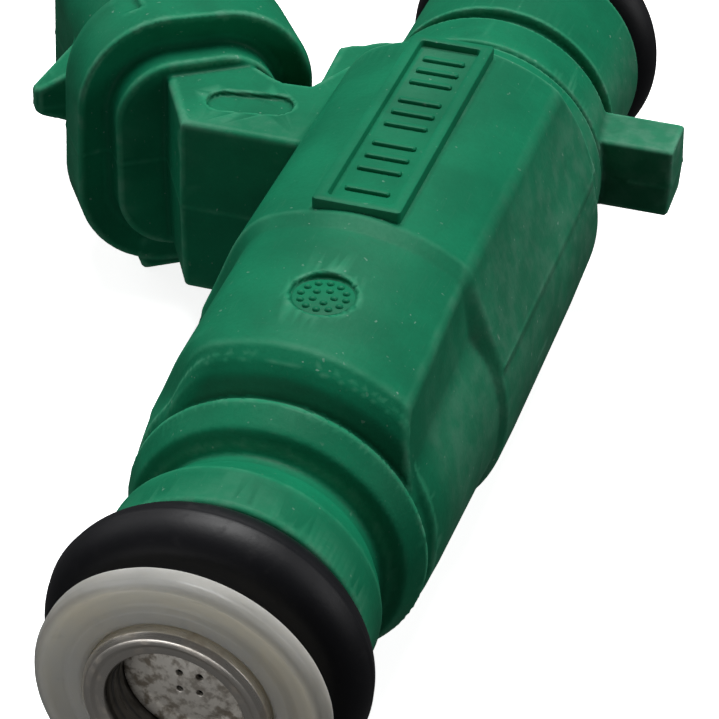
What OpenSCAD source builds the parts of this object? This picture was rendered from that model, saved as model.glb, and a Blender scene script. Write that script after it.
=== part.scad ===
// Port fuel injector with an overmoulded plastic body, lying on its side.
// The injector's axis is Y: the spray tip points to -Y and the fuel inlet to +Y.
// Z points up through the marking plate. The connector leans out to -X and the key tab to +X.
// The origin is on the axis, at the middle of the lower seal ring. Lengths are in millimetres.

/* [Seals] */
// Inner diameter of both seal rings
seal_id = 7.58; // [7.5:0.01:7.7]
// Cord thickness of both seal rings
seal_cord = 3.52; // [3.4:0.01:3.53]
// Distance between the two seal rings
seal_gap = 55.4; // [55:0.1:56]

/* [Housing] */
// Radius of the round body beside the marking plate
body_r = 8.05; // [7.9:0.05:8.2]
// Radius of the round body nearer the tip
lower_body_r = 7.45; // [7.4:0.05:7.6]
// Radius of the raised saddle that carries the plate
saddle_r = 9.7; // [9.6:0.05:9.8]
// Radius of the raised saddle nearer the tip
lower_saddle_r = 9.25; // [9.1:0.05:9.4]
// Half of the saddle's width
saddle_half = 5.4; // [5.2:0.1:5.6]
// Radius of the collar below the body
collar_r = 7.35; // [7.25:0.05:7.4]
// Radius of the neck below the upper seal ring
neck_r = 6.65; // [6.5:0.05:6.8]
// Depth of the retaining clip groove in that neck
clip_groove_depth = 0.6; // [0.3:0.1:0.8]

/* [Marking plate] */
// Width of the plate
plate_w = 4.3; // [4:0.1:4.6]
// Length of the plate
plate_len = 16.7; // [16:0.1:17]
// Height of the plate's rim above the axis
plate_z = 10.1; // [10:0.05:10.3]
// Width of the plate's rim
plate_rim = 0.6; // [0.4:0.1:0.8]
// Depth of the panel inside the rim
plate_depth = 0.55; // [0.3:0.05:0.6]

/* [Connector] */
// Angle between the plug direction and the injector's axis
plug_angle = 35; // [33:1:37]
// Width of the connector's back flange
flange_w = 13.05; // [12.8:0.05:13.2]
// Height of the connector's back flange
flange_h = 15.4; // [15.2:0.1:15.6]
// Wall thickness of the connector's shroud
shroud_wall = 1.2; // [1:0.1:1.3]
// Width of a terminal blade
blade_w = 2.8; // [2.7:0.1:2.9]
// Thickness of a terminal blade
blade_t = 0.8; // [0.6:0.1:0.8]
// Distance between the two blades
blade_pitch = 5; // [4.9:0.1:5.1]

/* [Valve] */
// Radius of the steel tube under the lower seal ring
tube_r = 3.79; // [3.75:0.01:3.8]
// Radius of the valve ball
ball_r = 1.75; // [1.7:0.05:1.8]
// Lift of the valve from its seat
lift = 0.1; // [0.06:0.01:0.12]
// Radius of a spray hole
spray_r = 0.14; // [0.1:0.01:0.16]
// Turns of the return spring
spring_turns = 9; // [7:1:10]

/* [Hidden] */
$fn = 96;
eps = 0.01;                     // small overlap that keeps a cut clean
far = 40;                       // longer than anything that is cut

// Places along the injector's axis, from tip to inlet
nose_y = -4.2;                  // end of the steel nose
cap_front_y = -3.7;             // front of the tip cap's rim
cap_back_y = -2.63;             // back of the tip cap's rim
cap_r = 6.45;                   // outside of the tip cap
foot_y = 1.9;                   // housing's end face behind the lower seal ring
collar_y = 8.3;                 // foot of the saddle's sloping front
body_y = 10;                    // start of the main body
step_y = 19.2;                  // step between the body's two sections
plate_y = 19.9;                 // tip-side end of the marking plate
saddle_end_y = 37.8;            // inlet-side end of the saddle
shoulder_y = 38.4;              // start of the slope to the upper neck
band_y = 41.4;                  // small step at the end of that slope
clip_y = 45.5;                  // start of the retaining clip groove
clip_len = 1.3;                 // width of that groove
head_y = seal_gap - seal_cord / 2 - 0.06;    // housing's end face below the upper seal ring
rail_flange_y = seal_gap + 2.2; // start of the pole core's end flange
inlet_y = rail_flange_y + 1.6;  // end of the inlet

// Valve group
casing_y = 9.6;                 // bottom of the magnet casing
casing_end_y = 25.6;            // top of the magnet casing
casing_r = 6.6;                 // outside of the magnet casing
casing_wall = 0.65;             // thickness of its wall
tube_end_y = 17;                // end of the valve body
sleeve_end_y = 20.5;            // end of the spacer sleeve
bore_r = 3.35;                  // armature's guide bore
stem_r = 4.3;                   // outside of the tubes inside the housing
pole_y = 18.7;                  // face that stops the armature
ball_y = 0.4;                   // centre of the ball on its seat
needle_r = 1.3;                 // outside of the needle tube
needle_bore_r = 0.8;            // inside of the needle tube
spring_seat_y = 15;             // shelf in the armature that carries the spring
spring_end_y = 27;              // where the adjusting sleeve holds the spring
filter_y = 47;                  // start of the wide inlet bore
filter_bore_r = 2.9;            // radius of that bore
bobbin_end_y = 24.6;            // top of the coil bobbin
flange_t = 1;                   // thickness of the bobbin's flanges
disc_y = -2.3;                  // outer face of the spray disc
disc_t = 0.3;                   // thickness of the spray disc
seat_end_y = 1.4;               // inner end of the valve seat
seat_r = 3;                     // outside of the seat and the spray disc

// Connector, measured along the plug direction (a) and across it (l)
flange_a = 40.35;               // back face of the connector's flange
flange_t_a = 5.9;               // thickness of that flange
shroud_len = 8.6;               // length of the shroud beyond the flange
shroud_inset = 1.5;             // step from the flange to the shroud
shroud_shift = 0.4;             // how far the shroud's outside sits towards the body
shroud_l = 9.95;                // middle of the connector, across
block_h_a = 1.4;                // height of the raised block on the flange's back
block_inset = 1.95;             // step from the flange's edge to the block
cavity_floor_a = 43.4;          // bottom of the connector's cavity
ear_a = 46;                     // face that the wire clip snaps behind
ear_base = 5.6;                 // root of the ear, across
ear_tip = 2.2;                  // tip of the ear, across
ear_low_z = -0.4;               // underside of the ear
ear_h = 1.5;                    // height of the ear
mouth_a = flange_a + flange_t_a + shroud_len;
blade_len = 8.5;                // free length of a blade in the cavity

// Connector arm and key tab
arm_y = 32.15;                  // tip-side face of the arm
arm_half_h = 5.05;              // half of the arm's height
web_half_h = 4.3;               // half of the height of the web behind the arm
tab_y = 42.4;                   // tip-side face of the key tab
tab_len = 3.4;                  // along the axis
tab_x = 10.95;                  // end of the key tab, from the axis
tab_low_z = -1.9;               // underside of the key tab
tab_h = 4.05;                   // height of the key tab

// Shapes turned about the injector's axis; a profile is a list of [radius, y]
module turned(profile) rotate([-90, 0, 0]) rotate_extrude() polygon(profile);

// A tube or rod about the axis, from y = a to y = b
module ring(inner, outer, a, b) turned([[inner, a], [outer, a], [outer, b], [inner, b]]);

// A flat outline in X and Z, drawn out along the axis from y = a to y = b
module along_y(a, b)
    translate([0, a, 0]) rotate([-90, 0, 0]) linear_extrude(b - a) mirror([0, 1, 0]) children();

// Moves children to the connector's own axes: X across, Y along the plug direction
module plug_frame() rotate([0, 0, plug_angle]) children();

// A block with rounded edges along the plug direction, from a0 to a1, in the middle of the connector
module plug_block(w, h, r, a0, a1, shift = 0)
    plug_frame() translate([shroud_l + shift, 0, 0]) along_y(a0, a1) rounded_rect(w, h, r);

module rounded_rect(w, h, r) {
    square([w - 2 * r, h], center = true);
    square([w, h - 2 * r], center = true);
    for (x = [-1, 1], y = [-1, 1]) translate([x * (w / 2 - r), y * (h / 2 - r)]) circle(r);
}

module body_section(core, saddle) {
    circle(core);
    intersection() {
        circle(saddle);
        translate([-saddle_half, 0]) square([2 * saddle_half, saddle]);
    }
}

// Outside of the steel parts that the plastic is moulded round
module moulded_core() turned([
    [0, foot_y - 1], [tube_r, foot_y - 1], [tube_r, 6], [stem_r, 6], [stem_r, casing_y],
    [casing_r, casing_y], [casing_r, casing_end_y], [stem_r, casing_end_y],
    [stem_r, head_y - 1.5], [tube_r, head_y - 1.5], [tube_r, head_y + 1], [0, head_y + 1]]);

module housing_necks() {
    turned([[0, foot_y], [6.33, foot_y], [6.32, 4.3], [5.9, 5.2], [5.4, 6], [5.4, 6.5], [6.45, 7.1],
            [7.05, collar_y], [collar_r - 0.1, 9.2], [collar_r, body_y + 1], [0, body_y + 1]]);
    turned([[0, shoulder_y - 1], [body_r, shoulder_y - 1], [body_r, shoulder_y], [7.6, band_y - 0.25],
            [7.35, band_y], [neck_r + 0.15, clip_y], [neck_r - clip_groove_depth, clip_y],
            [neck_r - clip_groove_depth, clip_y + clip_len], [neck_r, clip_y + clip_len],
            [neck_r, head_y - 0.3], [neck_r - 0.3, head_y], [0, head_y]]);
}

// Sloping front of the saddle, cut to the saddle's width
module saddle_front() intersection() {
    turned([[0, collar_y], [7.05, collar_y], [7.85, 8.6], [8.4, 9.2], [8.85, body_y],
            [8.85, body_y + 0.5], [0, body_y + 0.5]]);
    translate([-saddle_half, collar_y - 1, 0]) cube([2 * saddle_half, 4, saddle_r]);
}

module marking_plate() {
    difference() {
        translate([-plate_w / 2, plate_y, body_r - 1]) cube([plate_w, plate_len, plate_z - body_r + 1]);
        translate([plate_rim - plate_w / 2, plate_y + plate_rim, plate_z - plate_depth])
            cube([plate_w - 2 * plate_rim, plate_len - 2 * plate_rim, 2]);
    }
    // plain tally bars in groups of one, three, three and three
    for (i = [0:9])
        translate([-1, plate_y + 1.8 + 1.2 * i + 0.7 * floor((i + 2) / 3), plate_z - plate_depth - eps])
            cube([2, 0.45, 0.2]);
}

module connector_arm() {
    translate([0, 0, -arm_half_h]) linear_extrude(2 * arm_half_h)
        polygon([[-5, arm_y], [-13.4, arm_y], [-16.3, 37.1], [-14.5, 40.3], [-10.6, 39.4],
                 [-9.7, 38.4], [-8.6, 38.5], [-7.6, 40.2], [-5, 41]]);
    // web behind the arm, on the side of the body
    translate([0, 0, -web_half_h]) linear_extrude(2 * web_half_h)
        polygon([[-5, 39], [-8.3, 39], [-8.3, 43.2], [-7.8, 44.2], [-6.9, 44.9], [-6.6, 46.4], [-5, 47.2]]);
}

module connector() {
    difference() {
        union() {
            plug_block(flange_w, flange_h, 5.2, flange_a, flange_a + flange_t_a);
            plug_block(flange_w - 2 * block_inset, flange_h - 2 * block_inset, 3.6,
                       flange_a - block_h_a, flange_a + 1);
            plug_block(flange_w - 2 * shroud_inset + shroud_shift, flange_h - 2 * shroud_inset, 3.9,
                       flange_a + flange_t_a - 1, mouth_a, shroud_shift);
            latch_ear();
            // locating rib under the flange
            plug_frame() translate([6.8, flange_a, -flange_h / 2 - 0.45]) cube([2.5, flange_t_a, 2]);
        }
        plug_block(flange_w - 2 * (shroud_inset + shroud_wall), flange_h - 2 * (shroud_inset + shroud_wall),
                   2.7, cavity_floor_a, mouth_a + 1);
        // shallow notch on top of the flange
        plug_frame() translate([6.25, flange_a + 2.05, flange_h / 2 - 0.5]) cube([1.4, flange_t_a, 2]);
    }
}

// Small ramp on the outer side that the plug's wire clip snaps behind
module latch_ear() plug_frame() translate([0, 0, ear_low_z]) linear_extrude(ear_h)
    polygon([[ear_base, ear_a], [ear_base, ear_a + 1.6], [ear_tip, ear_a + 0.85], [ear_tip, ear_a + 0.3],
             [ear_tip + 0.3, ear_a]]);

module key_tab()
    translate([neck_r - 1.2, tab_y, tab_low_z]) cube([tab_x - neck_r + 1.2, tab_len, tab_h]);

module housing() color([0.08, 0.42, 0.28]) difference() {
    union() {
        housing_necks();
        saddle_front();
        along_y(body_y, step_y) body_section(lower_body_r, lower_saddle_r);
        along_y(step_y, saddle_end_y) body_section(body_r, saddle_r);
        along_y(saddle_end_y - 1, shoulder_y) circle(body_r);
        marking_plate();
        connector_arm();
        connector();
        key_tab();
    }
    moulded_core();
    terminal_tower();
    terminal(1);
    terminal(-1);
    // round recess near the tip
    translate([0.4, 14.05, lower_saddle_r - 0.35]) cylinder(r = 1.5, h = 2);
}

module tip_cap() color([0.72, 0.74, 0.74]) turned([
    [3.5, cap_back_y - 0.5], [4.12, cap_back_y - 0.7], [4.12, -3.5], [4.4, cap_front_y], [4.9, cap_front_y],
    [5.15, -3.45], [5.8, -3.45], [6.05, cap_front_y], [6.3, cap_front_y + 0.04], [cap_r, cap_front_y + 0.25],
    [cap_r, cap_back_y], [4.6, cap_back_y], [4.6, -2.2], [tube_r, -2.2], [tube_r, -2.5], [3.5, -2.6]]);

module seal_ring(y) color([0.05, 0.05, 0.055]) translate([0, y, 0]) rotate([-90, 0, 0])
    rotate_extrude() translate([(seal_id + seal_cord) / 2, 0]) circle(seal_cord / 2);

module lower_o_ring() seal_ring(0);

module upper_o_ring() seal_ring(seal_gap);

module valve_body() color([0.62, 0.6, 0.57]) turned([
    [seat_r, nose_y + 0.15], [seat_r + 0.15, nose_y], [3.75, nose_y], [4.0, -4.1], [4.1, -3.85], [4.1, -3.35],
    [3.45, -3.2], [3.45, -2.62], [tube_r, -2.45], [tube_r, 6], [stem_r, 6], [stem_r, tube_end_y],
    [bore_r, tube_end_y], [bore_r, 10.5], [2.6, 10.5], [2.6, seat_end_y], [seat_r, seat_end_y]]);

module valve_seat() color([0.66, 0.66, 0.66]) difference() {
    ring(0.9, seat_r, disc_y + disc_t, seat_end_y);
    // cone that the ball closes, and the bore that guides it
    turned([[0, -1.2], [0.9, -1.2], [ball_r + 0.04, -1.2 + ball_r - 0.86], [ball_r + 0.04, 2], [0, 2]]);
    // flutes that let fuel past the ball
    for (i = [0:4])
        rotate([0, 72 * i, 0]) translate([1.7, 0.2, 0]) rotate([-90, 0, 0])
            cylinder(r = 0.5, h = 2, $fn = 24);
}

module orifice_disc() color([0.55, 0.52, 0.47]) difference() {
    ring(0, seat_r, disc_y, disc_y + disc_t);
    for (i = [0:3])
        rotate([0, 45 + 90 * i, 0]) translate([0.55, disc_y - 1, 0]) rotate([-90, 0, 0])
            cylinder(r = spray_r, h = 2, $fn = 24);
}

module valve_ball() color([0.75, 0.75, 0.76]) translate([0, ball_y, 0]) sphere(ball_r);

module needle_tube() color([0.6, 0.6, 0.6]) difference() {
    ring(needle_bore_r, needle_r, 1.2, spring_seat_y);
    translate([0, ball_y, 0]) sphere(ball_r);
    // cross holes that let the fuel out of the tube
    for (i = [0:1])
        translate([0, 3 + 4 * i, 0]) rotate([0, 90 * i, 0]) cylinder(r = 0.4, h = 4, center = true, $fn = 24);
}

module armature() color([0.58, 0.58, 0.56]) turned([
    [needle_r, 11], [2.6, 11], [bore_r - 0.05, 11.6], [bore_r - 0.05, pole_y - lift], [1.65, pole_y - lift],
    [1.65, spring_seat_y], [needle_r, spring_seat_y]]);

module spacer_sleeve() color([0.74, 0.72, 0.66]) ring(bore_r, stem_r, tube_end_y, sleeve_end_y);

module pole_core() color([0.6, 0.6, 0.58]) turned([
    [1.75, pole_y], [bore_r, pole_y], [bore_r, sleeve_end_y], [stem_r, sleeve_end_y], [stem_r, head_y - 1.5],
    [tube_r, head_y - 1.5], [tube_r, rail_flange_y], [5.7, rail_flange_y], [5.9, rail_flange_y + 0.2],
    [5.9, inlet_y - 0.3], [5.6, inlet_y], [filter_bore_r + 0.3, inlet_y], [filter_bore_r, inlet_y - 0.3],
    [filter_bore_r, filter_y], [1.75, filter_y]]);

// Each turn of the spring is made of twelve short straight lengths of wire
module return_spring() color([0.5, 0.5, 0.52]) {
    steps = 12;
    coil_r = 1.2;
    wire_r = 0.22;
    bottom = spring_seat_y + wire_r + lift + 0.05;
    rise = (spring_end_y - wire_r - bottom) / (spring_turns * steps);
    wire_sweep(spring_turns * steps, steps, coil_r, wire_r, bottom, rise);
}

// A round wire wound about the axis, swept as one closed skin with six sides
module wire_sweep(count, steps, coil_r, wire_r, start_y, rise) {
    sides = 6;
    points = [for (i = [0:count]) for (j = [0:sides - 1])
        let (turn = 360 * i / steps, lean = 360 * j / sides, r = coil_r + wire_r * cos(lean))
        [r * cos(turn), start_y + rise * i + wire_r * sin(lean), r * sin(turn)]];
    skin = [for (i = [0:count - 1]) for (j = [0:sides - 1])
        let (k = (j + 1) % sides) [sides * i + j, sides * i + k, sides * (i + 1) + k, sides * (i + 1) + j]];
    first = [for (j = [0:sides - 1]) sides - 1 - j];
    last = [for (j = [0:sides - 1]) sides * count + j];
    polyhedron(points, concat([first], skin, [last]));
}

module adjusting_sleeve() color([0.55, 0.56, 0.58]) difference() {
    ring(1.2, 1.75, spring_end_y, spring_end_y + 7);
    translate([0, spring_end_y + 3.5, 1.5]) cube([0.5, 8, 2], center = true);
}

module terminal_tower() difference() {
    translate([-5.1, bobbin_end_y - eps, -3.05]) cube([1.2, 3.4, 6.1]);
    ring(0, stem_r, bobbin_end_y - 1, far);
}

module coil_bobbin() color([0.13, 0.13, 0.14]) difference() {
    union() {
        ring(stem_r, 4.9, casing_y + 0.8, bobbin_end_y);
        ring(stem_r, casing_r - casing_wall, casing_y + 0.8, casing_y + 0.8 + flange_t);
        ring(stem_r, casing_r - casing_wall, bobbin_end_y - flange_t, bobbin_end_y);
        terminal_tower();
    }
    terminal(1);
    terminal(-1);
}

module coil_winding() color([0.72, 0.4, 0.2])
    ring(4.9, 5.75, casing_y + 0.8 + flange_t, bobbin_end_y - flange_t);

module magnet_casing() color([0.5, 0.5, 0.5]) turned([
    [stem_r, casing_y], [casing_r, casing_y], [casing_r, casing_end_y],
    [casing_r - casing_wall, casing_end_y], [casing_r - casing_wall, casing_y + 0.8], [stem_r, casing_y + 0.8]]);

module flux_washer() color([0.48, 0.48, 0.48]) difference() {
    ring(stem_r, casing_r - casing_wall, bobbin_end_y, casing_end_y);
    translate([-8, bobbin_end_y - 1, -3.05]) cube([4.1, 3, 6.1]);
}

module filter_collar() color([0.75, 0.6, 0.3]) ring(2.2, filter_bore_r, 55.5, 58.5);

module filter_basket() color([0.2, 0.22, 0.3]) {
    ring(1.6, 2.2, 55.5, 57.5);
    ring(0, 2.3, 48, 49);
    for (i = [0:3])
        rotate([0, 90 * i, 0]) translate([1.9, 49 - eps, -0.3]) cube([0.3, 6.5 + 2 * eps, 0.6]);
}

module filter_mesh() color([0.8, 0.8, 0.75]) ring(1.75, 1.9, 49, 55.5);

// A stamped terminal: a narrow leg, a crossing strip in the arm and a blade in the connector
module terminal(side) translate([0, 0, side * blade_pitch / 2 - blade_t / 2]) linear_extrude(blade_t) {
    translate([-5, bobbin_end_y + 0.6]) square([0.9, 8.4]);
    polygon([[-4.1, 32.6], [-4.1, 35.2], [-14.1, 38.7], [-15.6, 36.6], [-5, 32.6]]);
    rotate(plug_angle) translate([shroud_l - blade_w / 2, flange_a - 3])
        square([blade_w, cavity_floor_a - flange_a + 3 + blade_len]);
}

module terminal_blade_a() color([0.7, 0.68, 0.62]) terminal(1);

module terminal_blade_b() color([0.7, 0.68, 0.62]) terminal(-1);

housing();
tip_cap();
lower_o_ring();
upper_o_ring();
valve_body();
valve_seat();
orifice_disc();
valve_ball();
needle_tube();
armature();
spacer_sleeve();
pole_core();
return_spring();
adjusting_sleeve();
coil_bobbin();
coil_winding();
magnet_casing();
flux_washer();
filter_collar();
filter_basket();
filter_mesh();
terminal_blade_a();
terminal_blade_b();
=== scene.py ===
"""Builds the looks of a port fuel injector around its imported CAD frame.

The injector's axis is Y, with the spray tip at -Y. Z points up through the marking plate.
Sizes in the property groups are in metres. The shape code works in millimetres.
"""

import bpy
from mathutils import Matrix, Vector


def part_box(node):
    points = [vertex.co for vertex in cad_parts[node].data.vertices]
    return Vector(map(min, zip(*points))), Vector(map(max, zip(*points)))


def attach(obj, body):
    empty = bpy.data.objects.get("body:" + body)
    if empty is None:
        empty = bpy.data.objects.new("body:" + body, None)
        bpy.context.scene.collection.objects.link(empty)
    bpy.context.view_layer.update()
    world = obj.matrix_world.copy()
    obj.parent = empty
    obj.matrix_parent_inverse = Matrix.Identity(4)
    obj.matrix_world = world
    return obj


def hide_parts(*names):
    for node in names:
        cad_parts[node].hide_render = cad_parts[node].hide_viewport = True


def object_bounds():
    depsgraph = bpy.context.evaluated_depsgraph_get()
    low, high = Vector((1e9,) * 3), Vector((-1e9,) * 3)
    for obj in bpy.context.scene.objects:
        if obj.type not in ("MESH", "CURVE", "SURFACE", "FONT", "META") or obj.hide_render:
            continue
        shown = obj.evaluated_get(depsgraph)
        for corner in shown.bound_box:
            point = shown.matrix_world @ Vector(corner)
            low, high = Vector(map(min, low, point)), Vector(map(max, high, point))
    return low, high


bl_info = {
    "name": "Fuel Injector",
    "version": (1, 0, 0),
    "blender": (4, 5, 0),
    "location": "View3D > Sidebar > Injector",
    "description": "Builds a port fuel injector with its moulded housing, seals, nose and studio",
    "category": "Add Mesh",
}

import math

import bmesh
import bpy
import numpy as np
from bpy.props import FloatProperty, FloatVectorProperty, IntProperty, PointerProperty
from mathutils import Matrix, Vector

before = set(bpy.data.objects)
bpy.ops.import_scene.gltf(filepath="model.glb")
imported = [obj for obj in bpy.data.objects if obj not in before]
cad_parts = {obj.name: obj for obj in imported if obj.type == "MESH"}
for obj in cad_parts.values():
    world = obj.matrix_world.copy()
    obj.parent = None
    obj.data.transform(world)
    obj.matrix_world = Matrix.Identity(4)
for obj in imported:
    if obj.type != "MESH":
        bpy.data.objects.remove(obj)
CAD_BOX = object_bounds()
BODY = "body"
MM = 0.001
MARK_X, MARK_Y = 0.4, 14.05             # centre of the round mark, in millimetres
PLATE_START, PLATE_LENGTH = 19.9, 16.7  # marking plate along the axis, in millimetres


def node_box(name):
    """Lowest and highest corner of a CAD node in millimetres."""
    low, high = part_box(name)
    return low / MM, high / MM


# ---------------------------------------------------------------- sizes and colours

def length(name, description, default):
    return FloatProperty(name=name, description=description, default=default, unit="LENGTH", precision=5)


def colour(name, description, default):
    return FloatVectorProperty(
        name=name, description=description, default=default, subtype="COLOR", size=3, min=0, max=1)


class HousingSizes(bpy.types.PropertyGroup):
    """Sizes of the moulded housing."""
    body_radius: length("Body radius", "Radius of the round body beside the marking plate", 0.00803)
    lower_radius: length("Lower body radius", "Radius of the round body nearer the tip", 0.00742)
    collar_radius: length("Collar radius", "Radius of the collar below the body", 0.00733)
    neck_radius: length("Neck radius", "Radius of the neck below the upper seal ring", 0.00665)
    saddle_radius: length("Saddle radius", "Radius of the raised saddle under the plate", 0.00973)
    lower_saddle_radius: length("Lower saddle radius", "Radius of the saddle just before its step", 0.00943)
    saddle_half: length("Saddle half width", "Half of the saddle's width", 0.0054)
    plug_angle: FloatProperty(
        name="Plug angle", description="Angle between the plug direction and the injector's axis",
        default=math.radians(35), subtype="ANGLE", unit="ROTATION")
    flange_width: length("Flange width", "Width of the connector's back flange", 0.01305)
    flange_height: length("Flange height", "Height of the connector's back flange", 0.0153)
    shroud_wall: length("Shroud wall", "Wall thickness of the connector's shroud", 0.0012)
    mesh_step: length("Mesh step", "Grid step of the housing's surface", 0.00021)
    faces: IntProperty(name="Faces", description="Most triangles in the housing", default=150000, min=5000)


class PlateSizes(bpy.types.PropertyGroup):
    """Sizes of the marking plate."""
    width: length("Plate width", "Width of the plate over its rim", 0.0043)
    rim: length("Rim width", "Width of the plate's rim", 0.0006)
    depth: length("Panel depth", "Depth of the panel inside the rim", 0.00038)
    bar: length("Bar length", "Length of one tally bar", 0.0022)


class Colours(bpy.types.PropertyGroup):
    """Base colours of the finishes."""
    green: colour("Green plastic", "Moulded housing", (0.006, 0.178, 0.085))
    # this colour also paints the sheen on the housing's +X side
    chalk_and_sheen: colour("Chalk", "Rubbed and dusty plastic", (0.30, 0.46, 0.38))
    nylon: colour("Milky nylon", "Tip cap", (0.45, 0.455, 0.44))
    rubber: colour("Rubber", "Seal rings", (0.0022, 0.0024, 0.0042))
    nose_steel: colour("Nose steel", "Turned steel of the nose", (0.80, 0.76, 0.70))
    copper: colour("Copper", "Enamelled winding wire", (0.55, 0.22, 0.09))
    brass: colour("Brass", "Filter collar", (0.62, 0.45, 0.20))
    tin: colour("Tinned brass", "Terminals", (0.66, 0.63, 0.55))


# ---------------------------------------------------------------- shader maths

class Value:
    """A shader socket that takes part in arithmetic. Each operator adds one Math node."""

    def __init__(self, paint, socket):
        self.paint = paint
        self.socket = socket

    def maths(self, operation, first, second):
        return self.paint.node("ShaderNodeMath", {"operation": operation}, {0: first, 1: second})

    def __add__(self, other):
        return self.maths("ADD", self, other)

    def __sub__(self, other):
        return self.maths("SUBTRACT", self, other)

    def __rsub__(self, other):
        return self.maths("SUBTRACT", other, self)

    def __mul__(self, other):
        return self.maths("MULTIPLY", self, other)

    __radd__ = __add__
    __rmul__ = __mul__


class Paint:
    """One material: its shader, and the nodes that feed it."""

    def __init__(self, name, constants):
        self.material = bpy.data.materials.new(name)
        self.material.use_nodes = True
        self.tree = self.material.node_tree
        self.shader = self.tree.nodes["Principled BSDF"]
        for socket, value in constants.items():
            self.shader.inputs[socket].default_value = value
        self.place = self.node("ShaderNodeTexCoord", {}, {}, "Object")

    def node(self, kind, settings, sockets, output=0):
        """Adds a node: its settings first, then the values or links of its sockets."""
        made = self.tree.nodes.new(kind)
        for key, value in settings.items():
            setattr(made, key, value)
        for key, value in sockets.items():
            if isinstance(value, Value):
                self.tree.links.new(value.socket, made.inputs[key])
            else:
                made.inputs[key].default_value = value
        return Value(self, made.outputs[output])

    def feed(self, socket, value):
        self.tree.links.new(value.socket, self.shader.inputs[socket])

    def stretched(self, x, y, z):
        return self.node("ShaderNodeVectorMath", {"operation": "MULTIPLY"}, {0: self.place, 1: (x, y, z)})

    def noise(self, per_mm, detail=3.0, vector=None):
        """Noise from 0 to 1 with this many spots to a millimetre."""
        return self.node("ShaderNodeTexNoise", {}, {
            "Vector": vector or self.place, "Scale": per_mm / MM, "Detail": detail, "Roughness": 0.55})

    def fade(self, value, low, high):
        """0 below low, 1 above high and smooth between them."""
        return self.node("ShaderNodeMapRange", {"interpolation_type": "SMOOTHSTEP"}, {
            "Value": value, "From Min": low, "From Max": high})

    def blend(self, factor, first, second):
        """Colour mixed from first to second."""
        first, second = ((*c, 1.0) if isinstance(c, (tuple, list)) else c for c in (first, second))
        return self.node("ShaderNodeMix", {"data_type": "RGBA"}, {0: factor, 6: first, 7: second}, 2)

    def axis(self, output):
        """One coordinate of the surface point, in metres."""
        return self.node("ShaderNodeSeparateXYZ", {}, {0: self.place}, output)

    def distance_from_axis(self):
        return self.node("ShaderNodeVectorMath", {"operation": "LENGTH"}, {0: self.stretched(1, 0, 1)}, "Value")

    def attribute(self, name):
        return self.node("ShaderNodeAttribute", {"attribute_name": name}, {}, "Fac")

    def bump(self, height, depth_mm):
        self.feed("Normal", self.node("ShaderNodeBump", {}, {
            "Strength": 1.0, "Distance": depth_mm * MM, "Height": height}))


def shade(tint, factor):
    return tuple(min(1.0, c * factor) for c in tint)


def green_plastic(name, colours, marks=False):
    """Glass-filled green plastic: blotchy and dusty, with painted shade in the creases, rubbed pale with a painted
    highlight on its edges, and rubbed pale with a painted sheen on one side.
    """
    green, chalk_and_sheen = tuple(colours.green), tuple(colours.chalk_and_sheen)
    paint = Paint(name, {"Specular IOR Level": 0.09, "Diffuse Roughness": 0.3})
    blotch = paint.noise(0.22, 4.0)
    grain = paint.noise(5.0, 2.0)
    tone = paint.blend(paint.fade(blotch, 0.32, 0.68), shade(green, 0.86), shade(green, 1.12))
    tone = paint.blend(paint.fade(grain, 0.35, 0.8) * 0.22, tone, shade(green, 0.7))
    # long fine scratches along the axis, and short ones across it
    streaks = paint.noise(1.0, 2.0, paint.stretched(9, 0.6, 9))
    scuffs = paint.noise(1.0, 3.0, paint.stretched(1.2, 7, 1.2))
    dusty = paint.noise(0.9, 5.0)
    rubbed = paint.fade(streaks, 0.6, 0.78) * 0.12 + paint.fade(scuffs, 0.62, 0.78) * 0.12
    # the +X side is blended to a paler, greyer colour: partly a rubbed, dusty film and partly a painted sheen
    side = paint.fade(paint.axis("X"), 0.0052, 0.0066) * paint.fade(paint.axis("Y"), 0.0105, 0.0125)
    haze = paint.fade(dusty, 0.38, 0.7)
    wear_and_sheen = rubbed * 0.25 + side * (0.05 + haze * 0.1)
    if marks:
        edge = paint.attribute("edge")
        crease_shade = paint.attribute("crease_shade")
        # edges are rubbed paler, and lightened to a brighter copy of the green as a painted highlight
        wear_and_sheen = wear_and_sheen + edge * (0.05 + haze * 0.18)
        tone = paint.blend(edge * 0.55, tone, shade(green, 1.75))
        # painted shade: creases are darkened to a deeper copy of the green
        tone = paint.blend(crease_shade * 0.5, tone, shade(green, 0.45))
    speck = paint.fade(paint.noise(3.2, 1.0), 0.735, 0.76) * 0.5
    paint.feed("Base Color", paint.blend(wear_and_sheen + speck * haze, tone, chalk_and_sheen))
    paint.feed("Roughness", 0.42 + wear_and_sheen * 0.35 + grain * 0.12)
    paint.bump(grain * 0.35 + paint.noise(0.7, 2.0) * 1.2 + streaks * 0.25, 0.02)
    return paint.material


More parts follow.
